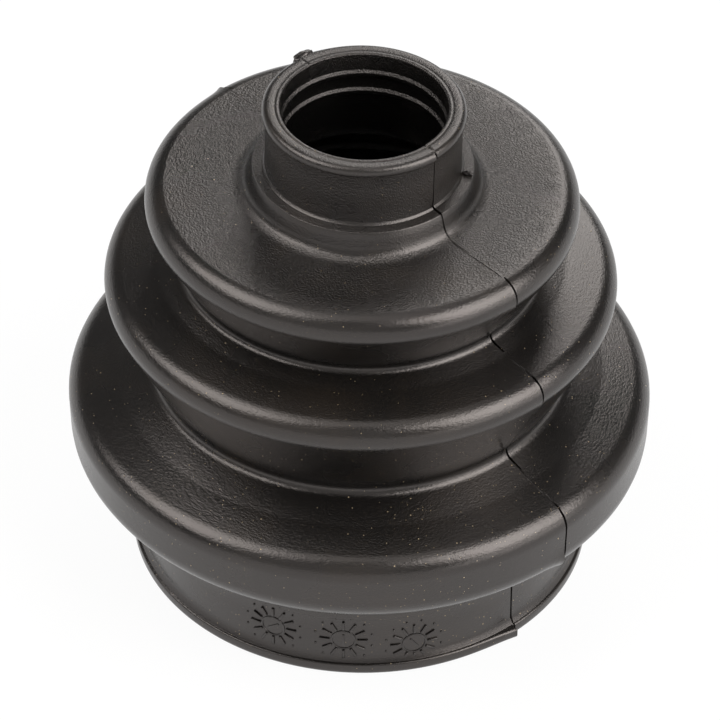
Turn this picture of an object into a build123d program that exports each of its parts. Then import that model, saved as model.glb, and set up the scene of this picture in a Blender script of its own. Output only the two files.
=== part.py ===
"""Rubber bellows boot for a drive shaft joint: one moulded piece, small collar up.

The boot is a wall of even thickness turned about Z. From the small collar down it
runs over three folds, each wider than the one above, into the large collar.
The origin is on the axis, in the plane of the large mouth that the boot rests on.
"""

from build123d import *

import os
from math import cos, radians, sin, tan
from typing import NamedTuple

# Overall
HEIGHT = 84.7              # from the large mouth to the top of the small rim
WALL = 2.25                # even wall of the collars and folds
JOIN = WALL / 2            # how far an added ring is sunk into the wall to join it

# Small collar
SMALL_BORE_R = 12.9
SMALL_SEAT_R = SMALL_BORE_R + WALL
SMALL_LIP_R = 15.65        # bead that keeps the clamp band on its seat
SMALL_LIP_HEIGHT = 1.5
SMALL_LIP_ROUND = 0.85
BORE_ENTRY_ROUND = 0.3     # softened edge where the shaft goes in

# Shoulder under the small collar, flaring into the top face
SHOULDER_R = 17.05
SHOULDER_Z = 73.7
SHOULDER_ROUND = 0.3
FLARE_WAIST_R = 17.4       # where the shoulder's edge breaks into the flare
FLARE_WAIST_Z = 72.7
FLARE_WAIST_ROUND = 0.3
FLARE_FOOT_R = 18.75       # corner where the flare would meet the top face
FLARE_FOOT_ROUND = 1.7     # hollow round that joins the two instead
FLARE_END_R = 22.0         # past the hollow round, level with the top face

# Large collar
LARGE_SEAT_R = 35.8
LARGE_BORE_R = LARGE_SEAT_R - WALL
LARGE_SEAT_TOP_Z = 14.5    # where the wall turns out under the lowest fold
LARGE_SEAT_ROUND = 2.2
LARGE_LIP_R = 36.75
LARGE_LIP_HEIGHT = 2.0
LARGE_LIP_ROUND = 0.7
LIP_STEP_ROUND = 0.25      # edge of either lip that faces its clamp seat

# Sealing ribs inside both collars
RIB_DEPTH = 0.4
RIB_CREST_WIDTH = 0.5
RIB_FOOT_WIDTH = 1.3
SMALL_RIB_HEIGHTS = (81.05, 77.7)
LARGE_RIB_HEIGHTS = (9.0, 5.0)

# Top fold
TOP_FACE_Z = 69.75         # height of the top face at the small collar
TOP_FACE_ROUND = 0.6


class Fold(NamedTuple):
    """One fold: a shelf, a rolled crest and the wall that runs in below it."""

    crest_r: float         # outermost radius of the roll
    roll_r: float          # radius of the roll's section
    shelf_drop: float      # degrees that the shelf falls towards the crest
    wall_lean: float       # degrees that the wall below leans in from the vertical
    foot_z: float          # height of the corner where the wall ends
    foot_round: float      # radius of that corner


FOLDS = (
    Fold(crest_r=33.75, roll_r=3.0, shelf_drop=0.5, wall_lean=28.8, foot_z=55.6, foot_round=1.2),
    Fold(crest_r=40.15, roll_r=3.0, shelf_drop=8.5, wall_lean=26.2, foot_z=34.9, foot_round=2.2),
    Fold(crest_r=46.2, roll_r=3.5, shelf_drop=14.8, wall_lean=1.6, foot_z=21.9, foot_round=1.6),
)


def fold_corners(inner_r: float, inner_z: float, fold: Fold) -> list[tuple[float, float]]:
    """Sharp corners at the crest and the foot of a fold whose shelf starts at inner_r, inner_z."""
    drop, lean = radians(fold.shelf_drop), radians(fold.wall_lean)
    # The roll touches the shelf above it and ends on the wall, tangent to both
    roll_centre_r = fold.crest_r - fold.roll_r
    roll_centre_z = inner_z - (roll_centre_r - inner_r) * tan(drop) - fold.roll_r / cos(drop)
    wall_r = roll_centre_r + fold.roll_r * cos(lean)
    wall_z = roll_centre_z - fold.roll_r * sin(lean)
    # The shelf's and the wall's straight lines meet outside the roll
    rise = inner_z - (wall_r - inner_r) * tan(drop) - wall_z
    crest_r = wall_r + rise * tan(lean) / (1 + tan(drop) * tan(lean))
    crest_z = inner_z - (crest_r - inner_r) * tan(drop)
    foot_r = wall_r - (wall_z - fold.foot_z) * tan(lean)
    return [(crest_r, crest_z), (foot_r, fold.foot_z)]


def wall_section() -> Sketch:
    """Half section of the even wall, radius along X and height along Y."""
    corners = [(SMALL_SEAT_R, HEIGHT), (SMALL_SEAT_R, TOP_FACE_Z)]
    rounds = [TOP_FACE_ROUND]
    for fold in FOLDS:
        corners += fold_corners(*corners[-1], fold)
        rounds += [fold.roll_r, fold.foot_round]
    corners += [(LARGE_SEAT_R, LARGE_SEAT_TOP_Z), (LARGE_SEAT_R, 0)]
    rounds.append(LARGE_SEAT_ROUND)
    outside = FilletPolyline(*corners, radius=rounds)
    return make_face(offset(outside, amount=WALL, side=Side.RIGHT, closed=True))


def lip_section(seat_r: float, lip_r: float, end_z: float, inner_z: float, end_round: float) -> Sketch:
    """Section of a clamp lip: end_z is the collar's end and inner_z the edge facing the seat."""
    root_r = seat_r - JOIN
    return make_face(FilletPolyline(
        (root_r, inner_z), (lip_r, inner_z), (lip_r, end_z), (root_r, end_z),
        radius=[0, LIP_STEP_ROUND, end_round, 0], close=True,
    ))


def top_face_z(radius: float) -> float:
    """Height of the top face, which falls a little away from the small collar."""
    return TOP_FACE_Z - (radius - SMALL_SEAT_R) * tan(radians(FOLDS[0].shelf_drop))


def shoulder_section() -> Sketch:
    """Section of the shoulder that backs the small clamp seat and of its flare."""
    root_r, root_z = SMALL_SEAT_R - JOIN, TOP_FACE_Z - JOIN
    return make_face(FilletPolyline(
        (root_r, root_z), (root_r, SHOULDER_Z), (SHOULDER_R, SHOULDER_Z), (FLARE_WAIST_R, FLARE_WAIST_Z),
        (FLARE_FOOT_R, top_face_z(FLARE_FOOT_R)), (FLARE_END_R, top_face_z(FLARE_END_R)), (FLARE_END_R, root_z),
        radius=[0, 0, SHOULDER_ROUND, FLARE_WAIST_ROUND, FLARE_FOOT_ROUND, 0, 0], close=True,
    ))


def rib_section(bore_r: float, middle_z: float) -> Sketch:
    """Section of one sealing rib on a bore of radius bore_r."""
    foot, crest = RIB_FOOT_WIDTH / 2, RIB_CREST_WIDTH / 2
    root_r, crest_r = bore_r + JOIN, bore_r - RIB_DEPTH
    return make_face(Polyline(
        (root_r, middle_z - foot), (bore_r, middle_z - foot), (crest_r, middle_z - crest),
        (crest_r, middle_z + crest), (bore_r, middle_z + foot), (root_r, middle_z + foot),
        close=True,
    ))


def boot_section() -> Sketch:
    """Whole half section: the wall, both clamp lips, the shoulder and the sealing ribs."""
    section = wall_section() + shoulder_section()
    section += lip_section(SMALL_SEAT_R, SMALL_LIP_R, HEIGHT, HEIGHT - SMALL_LIP_HEIGHT, SMALL_LIP_ROUND)
    section += lip_section(LARGE_SEAT_R, LARGE_LIP_R, 0, LARGE_LIP_HEIGHT, LARGE_LIP_ROUND)
    for middle_z in SMALL_RIB_HEIGHTS:
        section += rib_section(SMALL_BORE_R, middle_z)
    for middle_z in LARGE_RIB_HEIGHTS:
        section += rib_section(LARGE_BORE_R, middle_z)
    entry = section.vertices().sort_by_distance((SMALL_BORE_R, HEIGHT))[0]
    return fillet(entry, BORE_ENTRY_ROUND)


def bellows_boot() -> Part:
    """The boot as one solid, its section turned once about Z."""
    return revolve(Plane.XZ * boot_section(), Axis.Z, 360)


os.makedirs("parts", exist_ok=True)
boot = bellows_boot()
boot.label = "bellows_boot"
export_step(boot, "parts/bellows_boot.step")
print(f"bellows_boot: {boot.volume / 1000:.1f} cm3, {boot.bounding_box().size}")
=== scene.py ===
"""Dresses the moulded rubber bellows boot: its skin, the mould's parting flash, date dials and dust.

Sizes are in millimetres and become metres where a mesh is made. The boot's axis is Z, the large
mouth lies on the floor at z = 0, and azimuths are degrees counted from +X towards +Y.
"""

import logging
import math
from dataclasses import dataclass, field
from enum import Enum
from typing import Any, Callable, NamedTuple

import bmesh
import bpy
import numpy as np
from mathutils import Matrix, Quaternion, Vector, noise

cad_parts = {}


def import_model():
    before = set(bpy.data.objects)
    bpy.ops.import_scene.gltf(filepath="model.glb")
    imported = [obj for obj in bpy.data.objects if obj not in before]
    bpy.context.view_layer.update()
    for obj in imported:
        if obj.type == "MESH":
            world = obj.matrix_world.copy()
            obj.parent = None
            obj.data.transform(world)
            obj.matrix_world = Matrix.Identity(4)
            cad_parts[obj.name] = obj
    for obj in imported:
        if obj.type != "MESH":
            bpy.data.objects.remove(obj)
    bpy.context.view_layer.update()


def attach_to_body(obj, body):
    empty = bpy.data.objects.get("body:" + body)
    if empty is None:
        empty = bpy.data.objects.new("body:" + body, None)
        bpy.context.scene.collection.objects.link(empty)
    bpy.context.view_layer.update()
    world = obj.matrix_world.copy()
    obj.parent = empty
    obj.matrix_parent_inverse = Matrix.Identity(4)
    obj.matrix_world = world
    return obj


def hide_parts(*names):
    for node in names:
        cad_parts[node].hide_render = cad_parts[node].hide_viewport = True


LOG = logging.getLogger("bellows_boot")
MM = 0.001
NODE = "bellows_boot"
BODY = "root"
# How far the rubber has set towards +X at the large mouth, from which height down, and on what curve
LEAN = 0.55
LEAN_TOP_Z = 40.0
LEAN_CURVE = 1.2
LEAN_LIMIT = 1.1


# ---------------------------------------------------------------------------------------------
# Section of the boot


class Skin(Enum):
    """What the mould leaves on a stretch of the surface, as a share of its leather grain."""

    PLAIN = 0.18
    SATIN = 0.3
    FADING = 0.7
    GRAINED = 1.0


class Corner(NamedTuple):
    """One sharp corner of a section line, rounded when it is drawn."""

    r: float
    z: float
    round: float
    skin: Skin = Skin.PLAIN


class SectionPoint(NamedTuple):
    """One point of the drawn section, with the share of grain on the surface there."""

    r: float
    z: float
    grain: float
    outside: bool


@dataclass(frozen=True)
class Fold:
    """One fold: a shelf that falls to a rolled crest, and the wall that runs in below it.

    The skin below is that of the surface under the wall's foot, which is the next fold's shelf.
    """

    crest_r: float
    roll_r: float
    shelf_drop: float
    wall_lean: float
    foot_z: float
    foot_round: float
    skin_below: Skin

    def corners(self, inner: Corner) -> list[Corner]:
        """Find the sharp corners of the crest and of the foot.

        Args:
            inner: the corner where the fold's shelf starts.

        Returns:
            The crest's corner, then the foot's.
        """
        drop, lean = math.radians(self.shelf_drop), math.radians(self.wall_lean)
        centre_r = self.crest_r - self.roll_r
        centre_z = inner.z - (centre_r - inner.r) * math.tan(drop) - self.roll_r / math.cos(drop)
        wall_r = centre_r + self.roll_r * math.cos(lean)
        wall_z = centre_z - self.roll_r * math.sin(lean)
        rise = inner.z - (wall_r - inner.r) * math.tan(drop) - wall_z
        crest_r = wall_r + rise * math.tan(lean) / (1 + math.tan(drop) * math.tan(lean))
        crest_z = inner.z - (crest_r - inner.r) * math.tan(drop)
        foot_r = wall_r - (wall_z - self.foot_z) * math.tan(lean)
        return [
            Corner(crest_r, crest_z, self.roll_r, Skin.PLAIN),
            Corner(foot_r, self.foot_z, self.foot_round, self.skin_below),
        ]


class Hollow(NamedTuple):
    """How the skin is filled a little at a wall's foot.

    The foot's corner moves inward and rises, and from it the skin runs out to the reach, where it
    meets the shelf below.
    """

    inward: float
    rise: float
    round: float
    reach: float


@dataclass(frozen=True)
class SmallCollar:
    """The small collar: a grooved rim, a clamp lip and seat, and a shoulder that flares out."""

    height: float = 84.7
    bore_r: float = 12.9
    bore_edge_round: float = 0.3
    groove_inner_r: float = 13.55
    groove_bottom_r: float = 13.68
    groove_outer_r: float = 13.85
    groove_depth: float = 0.09
    groove_round: float = 0.05
    groove_edge_round: float = 0.1
    rim_fall: float = 0.02
    lip_r: float = 15.65
    lip_fall: float = 0.05
    lip_round: float = 0.85
    lip_foot_z: float = 83.25
    lip_foot_round: float = 0.25
    fillet: float = 0.12
    seat_foot_z: float = 74.15
    seat_foot_round: float = 0.2
    cove_r: float = 15.55
    cove_round: float = 0.25
    cove_fall: float = 0.02
    shoulder_r: float = 17.05
    shoulder_z: float = 73.8
    shoulder_fall: float = 0.1
    shoulder_round: float = 0.22
    waist_r: float = 17.4
    waist_z: float = 72.7
    waist_round: float = 0.3
    flare_foot_r: float = 18.3
    flare_foot_round: float = 2.4

    def corners(self, seat_r: float, top_face_z: float) -> list[Corner]:
        """Corners of the skin, from the bore's edge to the flare's foot.

        Args:
            seat_r: radius of the clamp seat.
            top_face_z: height of the top face that the flare runs into.

        Returns:
            The corners in order.
        """
        rim_z = self.height - self.rim_fall
        return [
            Corner(self.bore_r, self.height, self.bore_edge_round, Skin.SATIN),
            Corner(self.groove_inner_r, self.height, self.groove_edge_round, Skin.SATIN),
            Corner(self.groove_bottom_r, self.height - self.groove_depth, self.groove_round, Skin.SATIN),
            Corner(self.groove_outer_r, rim_z, self.groove_edge_round, Skin.SATIN),
            Corner(self.lip_r, self.height - self.lip_fall, self.lip_round, Skin.SATIN),
            Corner(self.lip_r, self.lip_foot_z, self.lip_foot_round, Skin.SATIN),
            Corner(seat_r, self.lip_foot_z - self.fillet, self.fillet, Skin.GRAINED),
            Corner(seat_r, self.seat_foot_z, self.seat_foot_round, Skin.SATIN),
            Corner(self.cove_r, self.shoulder_z - self.cove_fall, self.cove_round, Skin.GRAINED),
            Corner(self.shoulder_r, self.shoulder_z - self.shoulder_fall, self.shoulder_round, Skin.SATIN),
            Corner(self.waist_r, self.waist_z, self.waist_round, Skin.SATIN),
            Corner(self.flare_foot_r, top_face_z, self.flare_foot_round, Skin.GRAINED),
        ]


@dataclass(frozen=True)
class LargeCollar:
    """The large collar: a clamp seat with a fine step at its top, a small cone, and the clamp lip."""

    seat_r: float = 35.8
    top_z: float = 14.5
    top_round: float = 2.2
    step: float = 0.12
    step_z: float = 11.1
    step_height: float = 0.15
    step_round: float = 0.06
    cone_width: float = 0.5
    cone_height: float = 1.1
    cone_round: float = 1.5
    cone_foot_rise: float = 0.1
    cone_foot_round: float = 0.08
    lip_r: float = 36.75
    lip_z: float = 2.0
    lip_fall: float = 0.05
    lip_edge_round: float = 0.3
    mouth_round: float = 0.7

    def corners(self) -> list[Corner]:
        """Corners of the skin, from the top of the seat to the mouth.

        Returns:
            The corners in order.
        """
        return [
            Corner(self.seat_r + self.step, self.top_z, self.top_round),
            Corner(self.seat_r + self.step, self.step_z, self.step_round),
            Corner(self.seat_r, self.step_z - self.step_height, self.step_round),
            Corner(self.seat_r, self.lip_z + self.cone_height, self.cone_round),
            Corner(self.seat_r + self.cone_width, self.lip_z + self.cone_foot_rise, self.cone_foot_round),
            Corner(self.lip_r, self.lip_z - self.lip_fall, self.lip_edge_round),
            Corner(self.lip_r, 0.0, self.mouth_round),
        ]


@dataclass
class BootSection:
    """Half section of the boot, from the small rim down the outside and back up the inside."""

    wall: float = 2.25
    small_collar: SmallCollar = SmallCollar()
    large_collar: LargeCollar = LargeCollar()
    top_face_z: float = 69.75
    top_face_round: float = 0.6
    top_grain_r: float = 29.3
    top_grain_fade: float = 1.4
    top_fall: float = 0.08
    top_end_fall: float = 0.1
    top_round: float = 0.2
    mouth_inner_round: float = 0.4
    rib_depth: float = 0.4
    rib_crest: float = 0.25
    rib_foot: float = 0.65
    rib_round: float = 0.12
    small_ribs: tuple[float, ...] = (81.05, 77.7)
    large_ribs: tuple[float, ...] = (5.0, 9.0)
    folds: tuple[Fold, ...] = (
        Fold(
            crest_r=33.75, roll_r=3.0, shelf_drop=0.5, wall_lean=28.8,
            foot_z=55.6, foot_round=1.2, skin_below=Skin.SATIN,
        ),
        Fold(
            crest_r=40.15, roll_r=3.0, shelf_drop=8.5, wall_lean=26.2,
            foot_z=34.9, foot_round=2.2, skin_below=Skin.SATIN,
        ),
        Fold(
            crest_r=46.2, roll_r=3.5, shelf_drop=14.8, wall_lean=1.6,
            foot_z=21.55, foot_round=4.0, skin_below=Skin.PLAIN,
        ),
    )
    hollows: tuple[Hollow, ...] = (
        Hollow(inward=0.19, rise=0.5, round=1.0, reach=3.8),
        Hollow(inward=0.21, rise=0.45, round=1.35, reach=6.0),
    )
    hollow_round: float = 6.0
    smallest_inner_round: float = 0.4
    arc_step: float = 10.0
    small_arc_step: float = 24.0
    inner_arc_step: float = 18.0
    small_round: float = 1.0
    guarded_round: float = 0.5
    tiny_round: float = 0.2
    guard: float = 0.22
    guard_room: float = 3.0
    longest_run: float = 3.2

    @property
    def seat_r(self) -> float:
        """Radius of the small collar's clamp seat."""
        return self.small_collar.bore_r + self.wall

    def outside(self) -> list[Corner]:
        """Corners of the outer line, from the bore's edge to the mouth.

        Returns:
            The corners in order.
        """
        top_end_r = self.top_grain_r + self.top_grain_fade
        corners = self.small_collar.corners(self.seat_r, self.top_face_z)
        corners += [
            Corner(self.top_grain_r, self.top_face_z - self.top_fall, self.top_round, Skin.FADING),
            Corner(top_end_r, self.top_face_z - self.top_end_fall, self.top_round, Skin.SATIN),
        ]
        inner = Corner(self.seat_r, self.top_face_z, 0.0)
        for fold, below, hollow in zip(self.folds, self.folds[1:], self.hollows):
            crest, inner = fold.corners(inner)
            fall = hollow.reach * math.tan(math.radians(below.shelf_drop))
            corners += [
                crest,
                Corner(inner.r - hollow.inward, inner.z + hollow.rise, hollow.round, inner.skin),
                Corner(inner.r + hollow.reach, inner.z - fall, self.hollow_round, inner.skin),
            ]
        return corners + self.folds[-1].corners(inner) + self.large_collar.corners()

    def inside(self) -> list[Corner]:
        """Corners of the inner line, from the mouth back to the bore's edge.

        Returns:
            The corners in order: the outer wall's line set in by the wall, with the sealing ribs.
        """
        large = self.large_collar
        large_bore_r = large.seat_r - self.wall
        line = [
            Corner(self.seat_r, self.small_collar.height, 0.0),
            Corner(self.seat_r, self.top_face_z, self.top_face_round),
        ]
        for fold in self.folds:
            line += fold.corners(line[-1])
        line += [Corner(large.seat_r, large.top_z, large.top_round), Corner(large.seat_r, 0.0, 0.0)]
        inner = self.set_in(line)
        corners = [Corner(large_bore_r, 0.0, self.mouth_inner_round)]
        for z in self.large_ribs:
            corners += self.rib(large_bore_r, z)
        corners += list(reversed(inner[1:-1]))
        for z in reversed(self.small_ribs):
            corners += self.rib(self.small_collar.bore_r, z)
        return corners

    def rib(self, bore_r: float, z: float) -> list[Corner]:
        """Corners of one sealing rib.

        Args:
            bore_r: radius of the bore that carries it.
            z: height of the rib's middle.

        Returns:
            Foot, crest, crest and foot, from below.
        """
        crest_r = bore_r - self.rib_depth
        foot, crest = self.rib_foot, self.rib_crest
        places = ((bore_r, z - foot), (crest_r, z - crest), (crest_r, z + crest), (bore_r, z + foot))
        return [Corner(r, height, self.rib_round, Skin.GRAINED) for r, height in places]

    def set_in(self, line: list[Corner]) -> list[Corner]:
        """Move a line inwards by the wall's thickness.

        Args:
            line: corners of the outer line, from the top down.

        Returns:
            Corners of the parallel line, with their rounds grown or shrunk to stay parallel.
        """
        moved: list[Corner] = []
        runs = [Vector((b.r - a.r, b.z - a.z)).normalized() for a, b in zip(line, line[1:])]
        inward = [Vector((run.y, -run.x)) * self.wall for run in runs]
        for index, corner in enumerate(line):
            into, out_of = max(index - 1, 0), min(index, len(runs) - 1)
            before, after = inward[into], inward[out_of]
            turn = runs[into].cross(runs[out_of])
            half = (before + after) / (1 + before.dot(after) / self.wall ** 2)
            shrunk = max(corner.round - self.wall, self.smallest_inner_round)
            rounded = corner.round + self.wall if turn > 0 else shrunk
            moved.append(Corner(corner.r + half.x, corner.z + half.y, rounded))
        return moved

    def drawn(self) -> list[SectionPoint]:
        """Draw the whole closed section.

        Returns:
            Its points in order, the last one beside the first.
        """
        outside, inside = self.outside(), self.inside()
        corners = outside + inside
        points: list[SectionPoint] = []
        for index, corner in enumerate(corners):
            before, after = corners[index - 1], corners[(index + 1) % len(corners)]
            on_outside = index < len(outside)
            points += self.rounded(before, corner, after, on_outside)
        return self.filled(points)

    def rounded(self, before: Corner, corner: Corner, after: Corner, outside: bool) -> list[SectionPoint]:
        """Round one corner.

        Args:
            before: the corner that the line comes from.
            corner: the corner itself.
            after: the corner that the line goes on to.
            outside: whether the point is on the outer skin.

        Returns:
            The arc's points, with a guard point on each side that keeps the runs flat.
        """
        here = Vector((corner.r, corner.z))
        back, ahead = Vector((before.r, before.z)) - here, Vector((after.r, after.z)) - here
        room_back, room_ahead = back.length, ahead.length
        back.normalize()
        ahead.normalize()
        inside_angle = math.acos(max(-1.0, min(1.0, back.dot(ahead))))
        turn = math.pi - inside_angle
        reach = corner.round * math.tan(turn / 2)
        step_size = self.arc_step if corner.round >= self.small_round else self.small_arc_step
        if not outside:
            step_size = max(step_size, self.inner_arc_step)
        fewest = 1 if corner.round < self.tiny_round else 2
        steps = max(fewest, round(math.degrees(turn) / step_size))
        centre = here + (back + ahead).normalized() * (corner.round / math.cos(turn / 2))
        start, end = here + back * reach - centre, here + ahead * reach - centre
        arc = []
        for step in range(steps + 1):
            share = step / steps
            spoke = start * math.sin((1 - share) * turn) + end * math.sin(share * turn)
            arc.append(centre + spoke / math.sin(turn))
        guarded = corner.round >= self.guarded_round and outside
        least_room = reach + self.guard_room * self.guard
        spots = [
            (spot, corner.skin.value if step > steps / 2 else before.skin.value)
            for step, spot in enumerate(arc)
        ]
        if guarded and room_back > least_room:
            spots.insert(0, (here + back * (reach + self.guard), before.skin.value))
        if guarded and room_ahead > least_room:
            spots.append((here + ahead * (reach + self.guard), corner.skin.value))
        return [SectionPoint(spot.x, spot.y, grain, outside) for spot, grain in spots]

    def filled(self, points: list[SectionPoint]) -> list[SectionPoint]:
        """Divide the long straight runs.

        Args:
            points: the drawn points of the closed section.

        Returns:
            The same line, with no run longer than the longest allowed.
        """
        full: list[SectionPoint] = []
        for point, after in zip(points, points[1:] + points[:1]):
            full.append(point)
            length = math.hypot(after.r - point.r, after.z - point.z)
            cuts = int(length / self.longest_run)
            for cut in range(1, cuts + 1):
                share = cut / (cuts + 1)
                full.append(SectionPoint(
                    point.r + (after.r - point.r) * share,
                    point.z + (after.z - point.z) * share,
                    point.grain + (after.grain - point.grain) * share,
                    point.outside,
                ))
        return full


# ---------------------------------------------------------------------------------------------
# Hand tools


def deselect_all() -> None:
    """Clear the selection, so that an operator only meets what is made next."""
    if bpy.context.mode != "OBJECT":
        bpy.ops.object.mode_set(mode="OBJECT")
    bpy.ops.object.select_all(action="DESELECT")


def activate(piece: bpy.types.Object) -> None:
    """Select one object alone and make it the active one.

    Args:
        piece: the object.
    """
    deselect_all()
    piece.select_set(True)
    bpy.context.view_layer.objects.active = piece


def select_points(piece: bpy.types.Object, wanted: Callable[[Vector], bool]) -> None:
    """Select vertices in edit mode by their place.

    Args:
        piece: the mesh object in edit mode.
        wanted: says of a place, in millimetres, whether its vertex is selected.
    """
    shape = bmesh.from_edit_mesh(piece.data)
    shape.select_mode = {"VERT"}
    for vertex in shape.verts:
        vertex.select = wanted(vertex.co / MM)
    shape.select_flush_mode()
    bmesh.update_edit_mesh(piece.data)


def at(radius: float, azimuth: float, z: float) -> Vector:
    """Find the place at a radius, an azimuth in degrees and a height."""
    angle = math.radians(azimuth)
    return Vector((radius * math.cos(angle), radius * math.sin(angle), z))


def read_places(piece: bpy.types.Object) -> np.ndarray:
    """Read where a piece's vertices are.

    Args:
        piece: the mesh object.

    Returns:
        One row for each vertex, in millimetres.
    """
    flat = np.empty(len(piece.data.vertices) * 3)
    piece.data.vertices.foreach_get("co", flat)
    return flat.reshape(-1, 3) / MM


def write_places(piece: bpy.types.Object, places: np.ndarray) -> None:
    """Set a piece's vertices, in millimetres."""
    piece.data.vertices.foreach_set("co", (places * MM).ravel())
    piece.data.update()


def lean_over(places: np.ndarray) -> np.ndarray:
    """Lean the lower boot over a little, as the rubber has set.

    Args:
        places: points in millimetres.

    Returns:
        The points, moved.
    """
    share = np.clip((LEAN_TOP_Z - places[:, 2]) / LEAN_TOP_Z, 0, LEAN_LIMIT)
    moved = places.copy()
    moved[:, 0] += LEAN * share ** LEAN_CURVE
    return moved


def smooth_step(values: np.ndarray, start: float, end: float) -> np.ndarray:
    """Go gently from 0 at the start to 1 at the end, for each value."""
    share = np.clip((values - start) / (end - start), 0, 1)
    return share * share * (3 - 2 * share)


# ---------------------------------------------------------------------------------------------
# The moulded boot


@dataclass(frozen=True)
class PartingPlane:
    """Plane through the axis in which the mould's two halves meet."""

    azimuth: float = -45.7

    @property
    def along(self) -> Vector:
        """Unit vector from the axis towards the parting line in front."""
        return at(1.0, self.azimuth, 0.0)

    @property
    def across(self) -> Vector:
        """Unit vector square to the plane, towards the back right half."""
        return at(1.0, self.azimuth + 90, 0.0)

    def depth(self, places: np.ndarray) -> np.ndarray:
        """Distance of places along the plane, positive in front of the axis."""
        return places @ np.array(self.along)

    def side(self, places: np.ndarray) -> np.ndarray:
        """Distance of places off the plane, negative on the front left half."""
        return places @ np.array(self.across)


class Half(Enum):
    """One half of the moulding, by the sign of its distance off the parting plane."""

    FRONT_LEFT = -1
    BACK_RIGHT = 1


@dataclass(frozen=True)
class Swelling:
    """A place where one half of the moulding stands proud beside a parting line.

    Proud and drop are the most that the skin moves outwards and down. It fades over the reach, and
    past the heights and the inner radius.
    """

    half: Half
    z_low: float
    z_high: float
    proud: float
    drop: float
    reach: float
    behind: bool = False
    r_low: float = 14.3
    fade: float = 0.6


@dataclass(frozen=True)
class Seam:
    """A stretch of parting line between two radii and two heights.

    A positive rise is a hairline of flash and a negative one an open crack, and ragged is the
    share of it that comes and goes along the line.
    """

    r_low: float
    r_high: float
    z_low: float
    z_high: float
    rise: float
    ragged: float = 0.3


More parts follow.
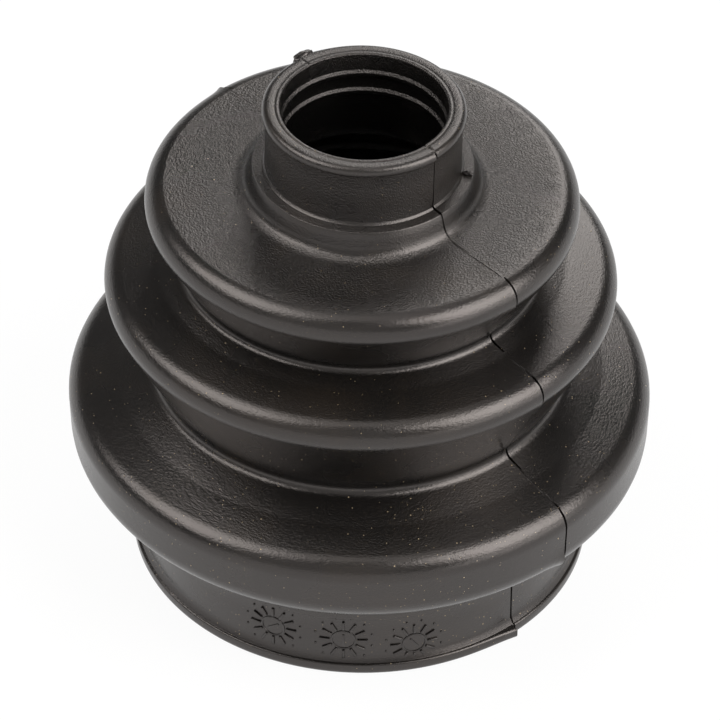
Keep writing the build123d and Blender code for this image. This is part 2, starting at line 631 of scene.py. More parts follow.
@dataclass
class MouldedBoot:
    """The boot's whole wall: its section turned once round, with both parting lines worked in."""

    section: BootSection = field(default_factory=BootSection)
    parting: PartingPlane = field(default_factory=PartingPlane)
    strip_edges: tuple[float, ...] = (0.0, 0.1, 0.2, 0.34, 0.6)
    strip_radius: float = 30.0
    strip_inset: float = 0.9
    half_steps: int = 118
    half_mismatch: float = 0.09
    swellings: tuple[Swelling, ...] = (
        Swelling(Half.FRONT_LEFT, 74.0, 84.8, 0.2, 0.0, 2.2),
        Swelling(Half.FRONT_LEFT, 64.0, 70.2, 0.12, 0.0, 1.2),
        Swelling(Half.FRONT_LEFT, 48.0, 54.5, 0.1, 0.0, 1.0),
        Swelling(Half.FRONT_LEFT, 20.0, 23.8, 0.32, 0.5, 1.3),
        Swelling(Half.FRONT_LEFT, -0.1, 2.1, 0.9, 0.0, 3.0, fade=0.3),
        Swelling(Half.BACK_RIGHT, 82.4, 85.0, 1.1, 0.0, 2.3, behind=True),
        Swelling(Half.FRONT_LEFT, 66.0, 69.6, 0.6, 0.0, 0.9, behind=True),
    )
    seams: tuple[Seam, ...] = (
        Seam(34.0, 38.0, -0.1, 14.0, -0.3),
        Seam(42.8, 47.0, 20.0, 35.0, -0.34),
        Seam(34.2, 42.8, 31.0, 35.6, 0.13, 0.6),
        Seam(31.0, 34.2, 31.0, 36.6, -0.5, 0.4),
        Seam(32.0, 39.7, 36.6, 48.6, -0.5, 0.6),
        Seam(36.6, 41.0, 48.6, 55.0, -0.32, 0.4),
        Seam(29.4, 36.6, 53.2, 56.4, 0.08, 0.6),
        Seam(26.0, 29.4, 54.8, 57.4, -0.6),
        Seam(26.0, 34.5, 57.4, 68.6, -0.6, 0.4),
        Seam(31.0, 34.5, 68.6, 70.0, -0.34),
        Seam(20.4, 31.0, 69.0, 70.2, 0.16, 0.4),
        Seam(17.0, 20.4, 69.4, 74.0, -0.2),
        Seam(15.0, 17.3, 73.6, 84.2, -0.65, 0.2),
        Seam(12.0, 16.0, 84.2, 85.0, -0.14, 0.4),
    )
    seam_share_behind: float = 0.6
    ragged_scale: float = 0.9
    ragged_depth_share: float = 0.1
    collar_twist: float = -1.7
    twisted_z: tuple[float, float] = (20.5, 17.0)
    back_line_shift: float = 0.65
    top_tilt: float = 0.005
    tilted_z: tuple[float, float] = (52.0, 66.0)
    lift: float = 0.45
    lifted_azimuth: float = -150.0
    lifted_spread: float = 42.0
    lifted_r: tuple[float, float] = (39.0, 43.0)
    lifted_z: tuple[float, float] = (33.0, 24.0)
    least_r: float = 1.0
    touching: float = 0.001
    merge_distance: float = 0.002
    same_angle: float = 0.0001
    smooth_angle: float = 38.0
    piece: bpy.types.Object | None = None

    def build(self) -> bpy.types.Object:
        """Model the boot.

        Returns:
            The finished piece.
        """
        points = self.section.drawn()
        self.draw(points)
        self.turn()
        self.square_strips()
        self.mark_skin(points)
        self.offset_halves()
        self.work_seams()
        self.settle()
        activate(self.piece)
        bpy.ops.object.shade_smooth_by_angle(angle=math.radians(self.smooth_angle))
        return self.piece

    def draw(self, points: list[SectionPoint]) -> None:
        """Draw the closed section in the parting plane, point by point.

        Args:
            points: the section's points in order.
        """
        deselect_all()
        bpy.ops.mesh.primitive_plane_add(size=MM)
        self.piece = bpy.context.object
        self.piece.name = "moulded_boot"
        bpy.ops.object.mode_set(mode="EDIT")
        bpy.ops.mesh.select_all(action="SELECT")
        bpy.ops.mesh.merge(type="CENTER")
        places = [self.parting.along * point.r + Vector((0, 0, point.z)) for point in points]
        bpy.ops.transform.translate(value=places[0] * MM)
        for before, place in zip(places, places[1:]):
            step = (place - before) * MM
            bpy.ops.mesh.extrude_region_move(TRANSFORM_OT_translate={"value": step})
        ends = (places[0], places[-1])
        select_points(self.piece, lambda spot: min((spot - end).length for end in ends) < self.touching)
        bpy.ops.mesh.edge_face_add()

    def turn(self) -> None:
        """Spin the section once round, in narrow steps beside both parting lines."""
        angles = [edge / self.strip_radius for edge in self.strip_edges]
        narrow = [after - before for before, after in zip(angles, angles[1:])]
        bpy.ops.mesh.select_all(action="SELECT")
        for _ in range(2):
            for angle in narrow:
                self.spin(1, angle)
            self.spin(self.half_steps, math.pi - 2 * angles[-1])
            for angle in reversed(narrow):
                self.spin(1, angle)
        bpy.ops.mesh.select_all(action="SELECT")
        bpy.ops.mesh.remove_doubles(threshold=self.merge_distance * MM)
        bpy.ops.mesh.normals_make_consistent(inside=False)
        bpy.ops.object.mode_set(mode="OBJECT")

    def spin(self, steps: int, angle: float) -> None:
        """Spin the selected section about the boot's axis."""
        bpy.ops.mesh.spin(steps=steps, angle=angle, center=(0, 0, 0), axis=(0, 0, 1))

    def square_strips(self) -> None:
        """Make the narrow strips beside the parting lines as wide at the collar as at the folds."""
        places = read_places(self.piece)
        depth, side = self.parting.depth(places), self.parting.side(places)
        radius = np.hypot(depth, side)
        angle = np.abs(np.arctan2(side, np.abs(depth)))
        along, across = np.array(self.parting.along), np.array(self.parting.across)
        for edge in self.strip_edges:
            column = np.abs(angle - edge / self.strip_radius) < self.same_angle
            reach = np.sqrt(radius[column] ** 2 - edge ** 2) * np.sign(depth[column])
            moved = reach[:, None] * along + (edge * np.sign(side[column]))[:, None] * across
            places[column, :2] = moved[:, :2]
        write_places(self.piece, places)

    def mark_skin(self, points: list[SectionPoint]) -> None:
        """Note on each vertex how grained it is, and whether it is on the outer skin.

        Args:
            points: the section's points, of which a vertex takes after the nearest.
        """
        places = read_places(self.piece)
        found = np.column_stack((np.hypot(places[:, 0], places[:, 1]), places[:, 2]))
        drawn = np.array([(point.r, point.z) for point in points])
        nearest = np.array([np.argmin(((drawn - spot) ** 2).sum(axis=1)) for spot in found])
        for name in ("grain", "outside"):
            values = np.array([getattr(point, name) for point in points], dtype=np.float32)
            attribute = self.piece.data.attributes.new(name, "FLOAT", "POINT")
            attribute.data.foreach_set("value", values[nearest])

    def outer_skin(self) -> np.ndarray:
        """Find the outer skin.

        Returns:
            For each vertex, whether it is on it.
        """
        flags = np.empty(len(self.piece.data.vertices), dtype=np.float32)
        self.piece.data.attributes["outside"].data.foreach_get("value", flags)
        return flags > 0.5

    def outward(self, places: np.ndarray) -> np.ndarray:
        """Give the level direction away from the axis at each place."""
        radius = np.maximum(np.hypot(places[:, 0], places[:, 1]), self.least_r)
        return np.column_stack((places[:, 0] / radius, places[:, 1] / radius, np.zeros(len(radius))))

    def offset_halves(self) -> None:
        """Set the halves a little apart at their skins, and proud where the worn mould left them so."""
        places = read_places(self.piece)
        skin = self.outer_skin()
        depth, side, z = self.parting.depth(places), self.parting.side(places), places[:, 2].copy()
        first_edge = self.strip_edges[1] * self.strip_inset
        right = skin & (side > -first_edge)
        outward = self.outward(places)
        places[right] -= np.array(self.parting.along) * self.half_mismatch
        for swelling in self.swellings:
            front = depth < 0 if swelling.behind else depth > 0
            near = skin & front & (side * swelling.half.value > first_edge)
            height = np.clip((z - swelling.z_low) / swelling.fade, 0, 1)
            height *= np.clip((swelling.z_high - z) / swelling.fade, 0, 1)
            height *= smooth_step(np.hypot(depth, side), swelling.r_low, swelling.r_low + swelling.fade)
            share = np.where(near, np.exp(-np.abs(side) / swelling.reach) * height, 0.0)[:, None]
            places += share * (outward * swelling.proud - np.array((0, 0, swelling.drop)))
        write_places(self.piece, places)

    def work_seams(self) -> None:
        """Raise the hairlines of flash and open the cracks along both parting lines."""
        places = read_places(self.piece)
        skin = self.outer_skin()
        normals = np.empty(len(places) * 3)
        self.piece.data.vertices.foreach_get("normal", normals)
        normals = normals.reshape(-1, 3)
        side, depth = self.parting.side(places), self.parting.depth(places)
        radius = np.abs(depth)
        close = self.strip_edges[1] / 2
        middle = np.abs(side) < close
        beside = (side > close) & (side < (self.strip_edges[2] + self.strip_edges[3]) / 2)
        shift = np.zeros(len(places))
        for seam in self.seams:
            here = skin & (radius >= seam.r_low) & (radius < seam.r_high)
            here &= (places[:, 2] >= seam.z_low) & (places[:, 2] < seam.z_high)
            moved = here & (middle | beside) if seam.rise < 0 else here & middle
            for number in np.flatnonzero(moved):
                away = depth[number] * self.ragged_depth_share
                along = Vector((radius[number], places[number, 2], away))
                # The noise swings by about a half either way, so it is doubled
                wear = 1 + seam.ragged * 2 * noise.noise(along * self.ragged_scale)
                shift[number] = seam.rise * wear
        shift[depth < 0] *= self.seam_share_behind
        write_places(self.piece, places + normals * shift[:, None])

    def settle(self) -> None:
        """Give the boot the slight set and twist that the rubber has taken."""
        places = read_places(self.piece)
        x, y, z = places.T.copy()
        turned = math.radians(self.collar_twist) * smooth_step(z, *self.twisted_z)
        behind = np.clip(-self.parting.depth(places) / np.hypot(x, y), 0, 1)
        turned -= self.back_line_shift / np.hypot(x, y) * behind ** 2
        places[:, 0] = x * np.cos(turned) - y * np.sin(turned)
        places[:, 1] = x * np.sin(turned) + y * np.cos(turned)
        off = np.degrees(np.arctan2(y, x)) - self.lifted_azimuth
        off = (off + 180) % 360 - 180
        low_wall = smooth_step(np.hypot(x, y), *self.lifted_r) * smooth_step(z, *self.lifted_z)
        lifted = self.lift * low_wall * np.exp(-((off / self.lifted_spread) ** 2))
        tilted = -self.top_tilt * x * smooth_step(z, *self.tilted_z)
        places = lean_over(places)
        places[:, 2] = np.maximum(z + lifted + tilted, 0)
        write_places(self.piece, places)


# ---------------------------------------------------------------------------------------------
# Small raised work on the skin


@dataclass
class DateDial:
    """A moulded date dial: a ring with a pointer, twelve sloping ticks and a dot beyond each gap."""

    name: str
    azimuth: float
    height: float
    pointer_turn: float
    seat_r: float = 35.8
    sunk: float = 0.1
    ring_r: float = 1.85
    ring_thickness: float = 0.16
    ring_steps: tuple[int, int] = (40, 8)
    ticks: int = 12
    tick_inner_r: float = 2.15
    tick_outer_r: float = 3.85
    tick_inner_width: float = 0.42
    tick_outer_width: float = 0.68
    tick_inner_rise: float = 0.26
    tick_outer_rise: float = 0.14
    tick_bevel: float = 0.12
    tick_bevel_steps: int = 3
    dot_circle_r: float = 4.62
    dot_r: float = 0.2
    dot_steps: tuple[int, int] = (10, 6)
    pointer_length: float = 2.2
    pointer_width: float = 0.34
    pointer_height: float = 0.24
    pointer_bevel: float = 0.06
    pointer_bevel_steps: int = 2
    smooth_angle: float = 35.0

    def build(self) -> bpy.types.Object:
        """Model the dial flat and wrap it round the seat.

        Returns:
            The finished piece.
        """
        parts = [self.ring(), self.pointer()]
        step = 360 / self.ticks
        for number in range(self.ticks):
            parts.append(self.tick(number * step))
            parts.append(self.dot((number + 0.5) * step))
        activate(parts[0])
        for part in parts:
            part.select_set(True)
        bpy.ops.object.join()
        piece = bpy.context.object
        piece.name = self.name
        self.wrap(piece)
        bpy.ops.object.shade_smooth_by_angle(angle=math.radians(self.smooth_angle))
        return piece

    def ring(self) -> bpy.types.Object:
        """Model the ring round the pointer.

        Returns:
            The ring.
        """
        deselect_all()
        bpy.ops.mesh.primitive_torus_add(
            major_radius=self.ring_r * MM,
            minor_radius=self.ring_thickness * MM,
            major_segments=self.ring_steps[0],
            minor_segments=self.ring_steps[1],
            location=(0, 0, self.sunk * MM),
        )
        bpy.ops.object.transform_apply()
        return bpy.context.object

    def block(self, place: Vector, size: Vector) -> bpy.types.Object:
        """Add a block that lies along a spoke, and go into edit mode on it.

        Args:
            place: the middle of the block on the flat dial.
            size: its size along the spoke, across it and upwards.

        Returns:
            The block, all of it selected.
        """
        deselect_all()
        bpy.ops.mesh.primitive_cube_add(size=1, location=place * MM)
        piece = bpy.context.object
        bpy.ops.object.mode_set(mode="EDIT")
        bpy.ops.transform.resize(value=size * MM)
        return piece

    def pointer(self) -> bpy.types.Object:
        """Model the straight pointer inside the ring, and turn it the way it points.

        Returns:
            The pointer.
        """
        size = Vector((self.pointer_length, self.pointer_width, self.pointer_height))
        piece = self.block(Vector((0, 0, self.sunk)), size)
        bpy.ops.mesh.bevel(offset=self.pointer_bevel * MM, segments=self.pointer_bevel_steps)
        self.turn_to(piece, self.pointer_turn)
        return piece

    def tick(self, turn: float) -> bpy.types.Object:
        """Model one tick, widening and falling away from the ring, and turn it to its place.

        Args:
            turn: its angle round the dial, in degrees.

        Returns:
            The tick.
        """
        middle = (self.tick_inner_r + self.tick_outer_r) / 2
        length = self.tick_outer_r - self.tick_inner_r
        size = Vector((length, self.tick_inner_width, 2 * self.tick_inner_rise))
        piece = self.block(Vector((middle, 0, 0)), size)
        select_points(piece, lambda place: place.x > middle)
        spread = self.tick_outer_width / self.tick_inner_width
        fall = self.tick_outer_rise / self.tick_inner_rise
        bpy.ops.transform.resize(value=(1, spread, fall))
        bpy.ops.mesh.select_all(action="SELECT")
        bpy.ops.mesh.bevel(offset=self.tick_bevel * MM, segments=self.tick_bevel_steps)
        bpy.ops.transform.translate(value=(0, 0, self.sunk * MM))
        self.turn_to(piece, turn)
        return piece

    def dot(self, turn: float) -> bpy.types.Object:
        """Model one round dot and turn it to its place.

        Args:
            turn: its angle round the dial, in degrees.

        Returns:
            The dot.
        """
        deselect_all()
        bpy.ops.mesh.primitive_uv_sphere_add(
            segments=self.dot_steps[0],
            ring_count=self.dot_steps[1],
            radius=self.dot_r * MM,
            location=(self.dot_circle_r * MM, 0, self.sunk * MM),
        )
        piece = bpy.context.object
        self.turn_to(piece, turn)
        return piece

    def turn_to(self, piece: bpy.types.Object, turn: float) -> None:
        """Turn a part about the dial's middle, and leave its object unturned at the origin.

        Args:
            piece: the part, where it was modelled.
            turn: how far it is turned, in degrees.
        """
        activate(piece)
        bpy.ops.object.transform_apply()
        piece.data.transform(Matrix.Rotation(math.radians(turn), 4, "Z"))

    def wrap(self, piece: bpy.types.Object) -> None:
        """Bend the flat dial round the seat and carry it to its place.

        Args:
            piece: the flat dial.
        """
        flat = read_places(piece)
        angle = math.radians(self.azimuth) + flat[:, 0] / self.seat_r
        radius = self.seat_r - self.sunk + flat[:, 2]
        z = self.height + flat[:, 1]
        places = np.column_stack((radius * np.cos(angle), radius * np.sin(angle), z))
        write_places(piece, lean_over(places))


@dataclass
class FlashScrap:
    """A torn scrap of flash left standing on the skin, roughly a lump drawn out one way.

    Its size is given outwards, round the boot and upwards.
    """

    name: str
    azimuth: float
    radius: float
    height: float
    size: tuple[float, float, float]
    roughness: float = 0.3
    waviness: float = 1.9
    subdivisions: int = 4

    def build(self) -> bpy.types.Object:
        """Model the scrap.

        Returns:
            The finished piece.
        """
        deselect_all()
        bpy.ops.mesh.primitive_ico_sphere_add(subdivisions=self.subdivisions, radius=1)
        piece = bpy.context.object
        piece.name = self.name
        round_places = np.array([vertex.co for vertex in piece.data.vertices])
        torn = [1 + self.roughness * noise.noise(Vector(place) * self.waviness) for place in round_places]
        out, along, up = (round_places * np.array(torn)[:, None] * np.array(self.size) / 2).T
        angle = math.radians(self.azimuth) + along / self.radius
        radius = self.radius + out
        places = np.column_stack((radius * np.cos(angle), radius * np.sin(angle), self.height + up))
        write_places(piece, lean_over(places))
        bpy.ops.object.shade_smooth()
        return piece


DIALS = (
    DateDial("date_dial_left", azimuth=-111.5, height=7.0, pointer_turn=35.0),
    DateDial("date_dial_middle", azimuth=-93.3, height=6.6, pointer_turn=90.0),
    DateDial("date_dial_right", azimuth=-75.4, height=5.25, pointer_turn=-55.0),
)
SCRAPS = (
    FlashScrap("shoulder_nib", azimuth=-8.5, radius=16.2, height=73.9, size=(1.7, 0.7, 1.0)),
    FlashScrap("rim_tag", azimuth=126.8, radius=15.8, height=84.2, size=(2.0, 3.8, 1.4)),
)


# ---------------------------------------------------------------------------------------------
# Shader tools


class Value:
    """A number travelling through a node tree, on which plain arithmetic adds Math nodes."""

    def __init__(self, graph: "Graph", socket: bpy.types.NodeSocket) -> None:
        """Wrap a socket of a graph."""
        self.graph = graph
        self.socket = socket

    def math(self, operation: str, other: "Value | float | None" = None, swapped: bool = False) -> "Value":
        """Add one Math node.

        Args:
            operation: the node's operation.
            other: the second number, where the operation takes one.
            swapped: whether this value is the second number.

        Returns:
            The node's result.
        """
        terms = [self] if other is None else [other, self] if swapped else [self, other]
        node = self.graph.node("ShaderNodeMath", {"operation": operation}, dict(enumerate(terms)))
        return Value(self.graph, node.outputs[0])

    def __add__(self, other: "Value | float") -> "Value":
        """Add."""
        return self.math("ADD", other)

    __radd__ = __add__

    def __sub__(self, other: "Value | float") -> "Value":
        """Subtract."""
        return self.math("SUBTRACT", other)

    def __rsub__(self, other: "Value | float") -> "Value":
        """Subtract this from a number."""
        return self.math("SUBTRACT", other, swapped=True)

    def __mul__(self, other: "Value | float") -> "Value":
        """Multiply."""
        return self.math("MULTIPLY", other)

    __rmul__ = __mul__

    def __truediv__(self, other: "Value | float") -> "Value":
        """Divide."""
        return self.math("DIVIDE", other)

    def __pow__(self, other: "Value | float") -> "Value":
        """Raise to a power."""
        return self.math("POWER", other)

    def at_least(self, other: "Value | float") -> "Value":
        """Take the greater of the two."""
        return self.math("MAXIMUM", other)

    def rise(self, low: float, high: float) -> "Value":
        """Go smoothly from 0 at low to 1 at high, or fall where high is the smaller.

        Args:
            low: where the result is 0.
            high: where the result is 1.

        Returns:
            The result, held at 0 and 1 beyond the ends.
        """
        node = self.graph.node("ShaderNodeMapRange", {"interpolation_type": "SMOOTHSTEP"}, {
            "Value": self,
            "From Min": min(low, high),
            "From Max": max(low, high),
            "To Min": float(low > high),
            "To Max": float(low < high),
        })
        return Value(self.graph, node.outputs["Result"])


class Graph:
    """A node tree under construction."""

    def __init__(self, tree: bpy.types.NodeTree) -> None:
        """Empty the tree and start on it."""
        self.tree = tree
        tree.nodes.clear()

    def node(
        self, kind: str, settings: dict[str, Any] | None = None, inputs: dict[str | int, Any] | None = None
    ) -> bpy.types.Node:
        """Add a node.

        Args:
            kind: the node's type.
            settings: its properties, which are set first.
            inputs: values, sockets or wrapped values for its inputs, by name or number.

        Returns:
            The node.
        """
        node = self.tree.nodes.new(kind)
        for name, setting in (settings or {}).items():
            setattr(node, name, setting)
        for name, source in (inputs or {}).items():
            if isinstance(source, Value):
                source = source.socket
            if isinstance(source, bpy.types.NodeSocket):
                self.tree.links.new(source, node.inputs[name])
            else:
                node.inputs[name].default_value = source
        return node

    def value(self, node: bpy.types.Node, output: str | int = 0) -> Value:
        """Wrap one output of a node."""
        return Value(self, node.outputs[output])

    def mix(self, share: Value | float, first: Any, second: Any) -> bpy.types.NodeSocket:
        """Mix two colours.

        Args:
            share: how much of the second shows.
            first: a colour or a socket.
            second: a colour or a socket.

        Returns:
            The mixed colour's socket.
        """
        node = self.node("ShaderNodeMix", {"data_type": "RGBA"}, {0: share, 6: first, 7: second})
        return node.outputs[2]


# ---------------------------------------------------------------------------------------------
# Finishes


Colour = tuple[float, float, float, float]


class Specks(NamedTuple):
    """One sort of dust speck: the spacing of the spots where one may lie, its radius, and its rarity."""

    spacing: float
    radius: float
    rarity: float


@dataclass(frozen=True)
class MouldedRubber:
    """Satin charcoal rubber: leather grain on the level faces, a fine tooth all over, and dust.

    Sizes are in millimetres. A range holds the strengths of a noise at which its effect begins and
    is full, dusty_z the heights between which dust thickens, and speck_edge the shares of a
    speck's radius over which its edge fades.
    """

    charcoal: Colour = (0.0022, 0.0021, 0.002, 1.0)
    browned: Colour = (0.0052, 0.0038, 0.0026, 1.0)
    dust: Colour = (0.32, 0.245, 0.145, 1.0)
    cloud_size: float = 14.0
    cloud_layers: float = 3.0
    browned_range: tuple[float, float] = (0.45, 0.7)
    film_size: float = 0.3
    film_layers: float = 1.0
    film_range: tuple[float, float] = (0.5, 0.8)
    film_share: float = 0.02
    patch_size: float = 16.0
    patch_layers: float = 1.0
    coarse_specks: Specks = Specks(spacing=1.2, radius=0.1, rarity=1.24)
    coarse_patchiness: float = 0.5
    fine_specks: Specks = Specks(spacing=0.6, radius=0.065, rarity=1.42)
    speck_edge: tuple[float, float] = (1.3, 0.7)
    speck_fade: float = 0.05
    dusty_z: tuple[float, float] = (64.0, 50.0)
    dusty_gain: float = 0.15
    smooth_roughness: float = 0.27
    grained_roughness: float = 0.28
    cloud_roughness: float = 0.12
    speck_roughness: float = 0.3
    grain_size: float = 0.27
    grain_stretch: float = 1.25
    grain_depth: float = 0.05
    grain_layers: float = 2.0
    grain_range: tuple[float, float] = (0.3, 0.7)
    tooth_size: float = 0.24
    tooth_depth: float = 0.02
    tooth_layers: float = 2.0
    reference_r: float = 25.0
    specular_level: float = 0.8
    specular_tint: Colour = (1.0, 0.915, 0.88, 1.0)

    def make(self) -> bpy.types.Material:
        """Make the material.

        Returns:
            The material.
        """
        material = bpy.data.materials.new("moulded_rubber")
        material.use_nodes = True
        graph = Graph(material.node_tree)
        place = graph.node("ShaderNodeTexCoord").outputs["Object"]
        grain = graph.value(graph.node("ShaderNodeAttribute", {"attribute_name": "grain"}), "Fac")
        outside = graph.value(graph.node("ShaderNodeAttribute", {"attribute_name": "outside"}), "Fac")
        height = self.leather(graph, place) * grain * self.grain_depth
        height = height + self.noise(graph, place, self.tooth_size, self.tooth_layers) * self.tooth_depth
        bump = graph.node("ShaderNodeBump", None, {"Strength": 1.0, "Distance": MM, "Height": height})
        cloud = self.noise(graph, place, self.cloud_size, self.cloud_layers)
        colour = graph.mix(cloud.rise(*self.browned_range) * outside, self.charcoal, self.browned)
        specks = self.specks(graph, place) * outside
        film = self.noise(graph, place, self.film_size, self.film_layers)
        film = film.rise(*self.film_range) * self.film_share
        colour = graph.mix(specks.at_least(film * outside), colour, self.dust)
        roughness = self.smooth_roughness + grain * (self.grained_roughness - self.smooth_roughness)
        roughness = roughness + (cloud - 0.5) * self.cloud_roughness + specks * self.speck_roughness
        shader = graph.node("ShaderNodeBsdfPrincipled", None, {
            "Base Color": colour,
            "Roughness": roughness,
            "Specular IOR Level": self.specular_level,
            "Specular Tint": self.specular_tint,
            "Normal": bump.outputs[0],
        })
        graph.node("ShaderNodeOutputMaterial", None, {"Surface": shader.outputs[0]})
        return material

    def noise(self, graph: Graph, place: bpy.types.NodeSocket, size: float, layers: float) -> Value:
        """Add plain noise.

        Args:
            graph: the material's graph.
            place: the surface's place.
            size: size of its features in millimetres.
            layers: how many finer layers it has.

        Returns:
            Its strength, about 0.5 on average.
        """
        node = graph.node("ShaderNodeTexNoise", None, {
            "Vector": place,
            "Scale": 1 / (size * MM),
            "Detail": layers,
        })
        return graph.value(node)

    def leather(self, graph: Graph, place: bpy.types.NodeSocket) -> Value:
        """Add the mould's leather grain, drawn out round the axis, with no seam.

        Args:
            graph: the material's graph.
            place: the surface's place.

        Returns:
            Its height, 0 to 1.
        """
        parts = graph.node("ShaderNodeSeparateXYZ", None, {0: place})
        x, y, z = (graph.value(parts, index) / MM for index in range(3))
        radius = (x * x + y * y) ** 0.5
        round_scale = self.reference_r / (self.grain_size * self.grain_stretch)
        ring = graph.node("ShaderNodeCombineXYZ", None, {
            0: x / radius * round_scale,
            1: y / radius * round_scale,
            2: radius / self.grain_size,
        })
        node = graph.node("ShaderNodeTexNoise", {"noise_dimensions": "4D"}, {
            "Vector": ring.outputs[0],
            "W": z / self.grain_size,
            "Scale": 1.0,
            "Detail": self.grain_layers,
        })
        return graph.value(node).rise(*self.grain_range)

    def specks(self, graph: Graph, place: bpy.types.NodeSocket) -> Value:
        """Add pale specks of dust, thicker in some places than in others.

        Args:
            graph: the material's graph.
            place: the surface's place.

        Returns:
            The share of dust, 0 to 1.
        """
        patches = self.noise(graph, place, self.patch_size, self.patch_layers)
        z = graph.value(graph.node("ShaderNodeSeparateXYZ", None, {0: place}), 2)
        low = z.rise(*(height * MM for height in self.dusty_z)) * self.dusty_gain
        coarse, fine = self.coarse_specks, self.fine_specks
        large = self.sprinkle(graph, place, coarse, patches * self.coarse_patchiness + low - coarse.rarity)
        return large.at_least(self.sprinkle(graph, place, fine, patches + low - fine.rarity))

    def sprinkle(self, graph: Graph, place: bpy.types.NodeSocket, sort: Specks, plenty: Value) -> Value:
        """Scatter round specks of one sort.

        Args:
            graph: the material's graph.
            place: the surface's place.
            sort: the spacing and the radius of the specks.
            plenty: added to a spot's chance, which is above 0 where a speck lies.

        Returns:
            The share of dust, 0 to 1.
        """
        cells = graph.node("ShaderNodeTexVoronoi", {"feature": "F1"}, {
            "Vector": place,
            "Scale": 1 / (sort.spacing * MM),
        })
        lots = graph.value(graph.node("ShaderNodeSeparateColor", None, {0: cells.outputs["Color"]}))
        edges = (share * sort.radius / sort.spacing for share in self.speck_edge)
        near = graph.value(cells, "Distance").rise(*edges)
        return near * (lots + plenty).rise(0.0, self.speck_fade)


@dataclass(frozen=True)
class StudioFloor:
    """Plain white floor that keeps the object's soft shadow, and stays dark inside the boot's mouth."""

    colour: Colour = (0.9, 0.9, 0.9, 1.0)
    seen_share: float = 0.93
    mouth_r: float = 34.5
    mouth_fade: float = 1.0

    def make(self) -> bpy.types.Material:
        """Make the material.

        Returns:
            The material.
        """
        material = bpy.data.materials.new("studio_floor")
        material.use_nodes = True
        graph = Graph(material.node_tree)
        place = graph.node("ShaderNodeTexCoord").outputs["Object"]
        reach = graph.value(graph.node("ShaderNodeVectorMath", {"operation": "LENGTH"}, {0: place}), "Value")
        open_floor = reach.rise(self.mouth_r * MM, (self.mouth_r + self.mouth_fade) * MM)
        seen = background_rays(graph) * open_floor
        lit = graph.node("ShaderNodeBsdfDiffuse", None, {"Color": self.colour})
        white = graph.node("ShaderNodeEmission", None, {"Color": (1, 1, 1, 1), "Strength": 1.0})
        mixed = graph.node("ShaderNodeMixShader", None, {
            0: seen * self.seen_share,
            1: lit.outputs[0],
            2: white.outputs[0],
        })
        graph.node("ShaderNodeOutputMaterial", None, {"Surface": mixed.outputs[0]})
        return material


def background_rays(graph: Graph) -> Value:
    """Say whether a ray shows the background: seen directly, in gloss or through glass.

    Args:
        graph: the floor's graph.

    Returns:
        1 for such a ray and 0 for any other.
    """
    path = graph.node("ShaderNodeLightPath")
    camera, glossy = graph.value(path, "Is Camera Ray"), graph.value(path, "Is Glossy Ray")
    return camera.at_least(glossy).at_least(graph.value(path, "Is Transmission Ray"))


# ---------------------------------------------------------------------------------------------
# Studio


@dataclass(frozen=True)
class SoftBox:
    """One soft lamp, aimed at the boot.

    The width and height are the angles, in degrees, that it spans as seen from the boot, and its
    glow is its brightness, where a white wall in this light is about 1.
    """

    name: str
    azimuth: float
    elevation: float
    width: float
    height: float
    glow: float
    distance: float = 1.8
    colour: tuple[float, float, float] = (1.0, 0.99, 0.97)

    def place(self, target: Vector) -> None:
        """Hang the lamp and aim it.

        Args:
            target: the place it is aimed at, in metres.
        """
        lamp = bpy.data.lights.new(self.name, "AREA")
        lamp.shape = "RECTANGLE"
        lamp.size, lamp.size_y = (
            2 * self.distance * math.tan(math.radians(span) / 2) for span in (self.width, self.height)
        )
        lamp.energy = self.glow * math.pi * lamp.size * lamp.size_y
        lamp.color = self.colour
        elevation = math.radians(self.elevation)
        spoke = at(math.cos(elevation), self.azimuth, math.sin(elevation))
        holder = bpy.data.objects.new(self.name, lamp)
        bpy.context.scene.collection.objects.link(holder)
        holder.visible_camera = False
        holder.location = target + spoke * self.distance
        holder.rotation_euler = (-spoke).to_track_quat("-Z", "Y").to_euler()


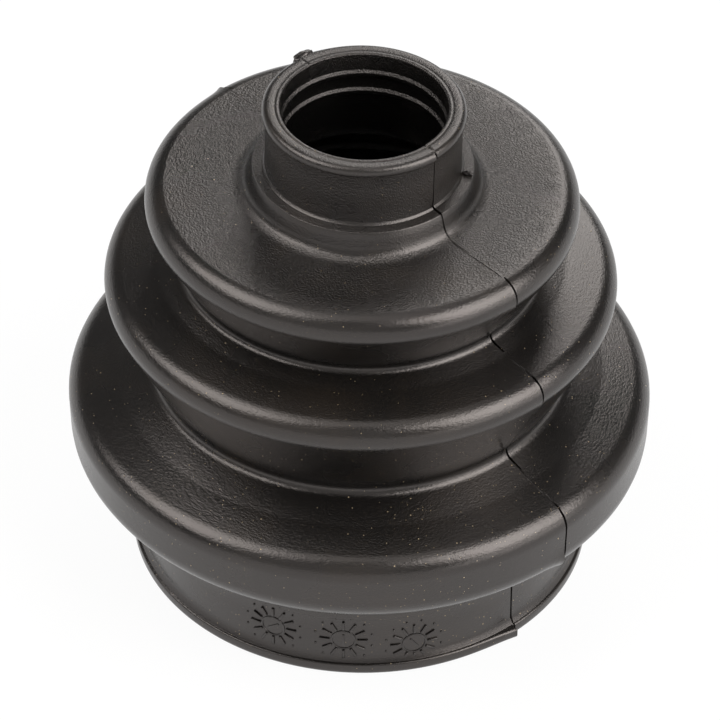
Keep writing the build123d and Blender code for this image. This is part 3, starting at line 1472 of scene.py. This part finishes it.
@dataclass
class Studio:
    """The white floor, the dim room, the soft boxes and the camera."""

    target_z: float = 40.0
    camera_elevation: float = 40.6
    camera_distance: float = 788.0
    camera_roll: float = 1.15
    lens: float = 250.0
    sensor: float = 36.0
    far_end: float = 30.0
    frame_shift: float = -0.0425
    floor_size: float = 20.0
    horizon: float = 1.0
    horizon_fade: tuple[float, float] = (0.22, 0.1)
    overhead: float = 0.12
    boxes: tuple[SoftBox, ...] = (
        SoftBox("left_soft_box", azimuth=-174, elevation=54, width=44, height=38, glow=4.0),
        SoftBox("right_soft_box", azimuth=-25, elevation=41, width=43, height=46, glow=5.6),
        SoftBox("right_low_soft_box", azimuth=-32, elevation=6, width=46, height=12, glow=2.2),
        SoftBox("back_soft_box", azimuth=78, elevation=36, width=20, height=30, glow=3.9),
        SoftBox("front_soft_box", azimuth=-105, elevation=30, width=60, height=46, glow=0.4),
        SoftBox("top_soft_box", azimuth=90, elevation=86, width=36, height=42, glow=0.9),
    )

    def build(self) -> None:
        """Set up everything round the boot."""
        bpy.context.scene.view_settings.view_transform = "Standard"
        target = Vector((0, 0, self.target_z * MM))
        self.lay_floor()
        self.light_surroundings()
        for box in self.boxes:
            box.place(target)
        self.aim_camera(target)

    def lay_floor(self) -> None:
        """Lay the floor and give it its white material."""
        deselect_all()
        bpy.ops.mesh.primitive_plane_add(size=self.floor_size)
        floor = bpy.context.object
        floor.name = "floor"
        floor.data.materials.append(StudioFloor().make())

    def light_surroundings(self) -> None:
        """Fill the room: white where the floor ends, and dim overhead."""
        world = bpy.data.worlds.new("studio_room")
        bpy.context.scene.world = world
        world.use_nodes = True
        graph = Graph(world.node_tree)
        direction = graph.node("ShaderNodeTexCoord").outputs["Generated"]
        up = graph.value(graph.node("ShaderNodeSeparateXYZ", None, {0: direction}), 2)
        strength = up.rise(*self.horizon_fade) * (self.horizon - self.overhead) + self.overhead
        room = graph.node("ShaderNodeBackground", None, {"Color": (1, 1, 1, 1), "Strength": strength})
        graph.node("ShaderNodeOutputWorld", None, {"Surface": room.outputs[0]})

    def aim_camera(self, target: Vector) -> None:
        """Put the camera where it frames the boot, and make it the scene's own.

        Args:
            target: the place it looks at, in metres.
        """
        lens = bpy.data.cameras.new("camera")
        lens.lens, lens.sensor_width = self.lens, self.sensor
        lens.clip_end = self.far_end
        lens.shift_y = self.frame_shift
        camera = bpy.data.objects.new("camera", lens)
        bpy.context.scene.collection.objects.link(camera)
        elevation = math.radians(self.camera_elevation)
        spoke = Vector((0, -math.cos(elevation), math.sin(elevation)))
        camera.location = target + spoke * self.camera_distance * MM
        level = (-spoke).to_track_quat("-Z", "Y")
        roll = Quaternion((0, 0, 1), math.radians(self.camera_roll))
        camera.rotation_euler = (level @ roll).to_euler()
        bpy.context.scene.camera = camera


def attach(piece: bpy.types.Object, material: bpy.types.Material) -> None:
    """Give a piece its finish and let it ride on the boot's body.

    Args:
        piece: the finished piece.
        material: its finish.
    """
    piece.data.materials.clear()
    piece.data.materials.append(material)
    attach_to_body(piece, BODY)
    triangles = sum(len(face.vertices) - 2 for face in piece.data.polygons)
    LOG.info("%s: %d triangles", piece.name, triangles)


def main() -> None:
    """Build the boot and its studio in order."""
    logging.basicConfig(level=logging.INFO, format="%(name)s %(message)s")
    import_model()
    rubber = MouldedRubber().make()
    boot = MouldedBoot().build()
    attach(boot, rubber)
    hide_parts(NODE)
    for detail in (*DIALS, *SCRAPS):
        attach(detail.build(), rubber)
    Studio().build()


if __name__ == "__main__":
    main()
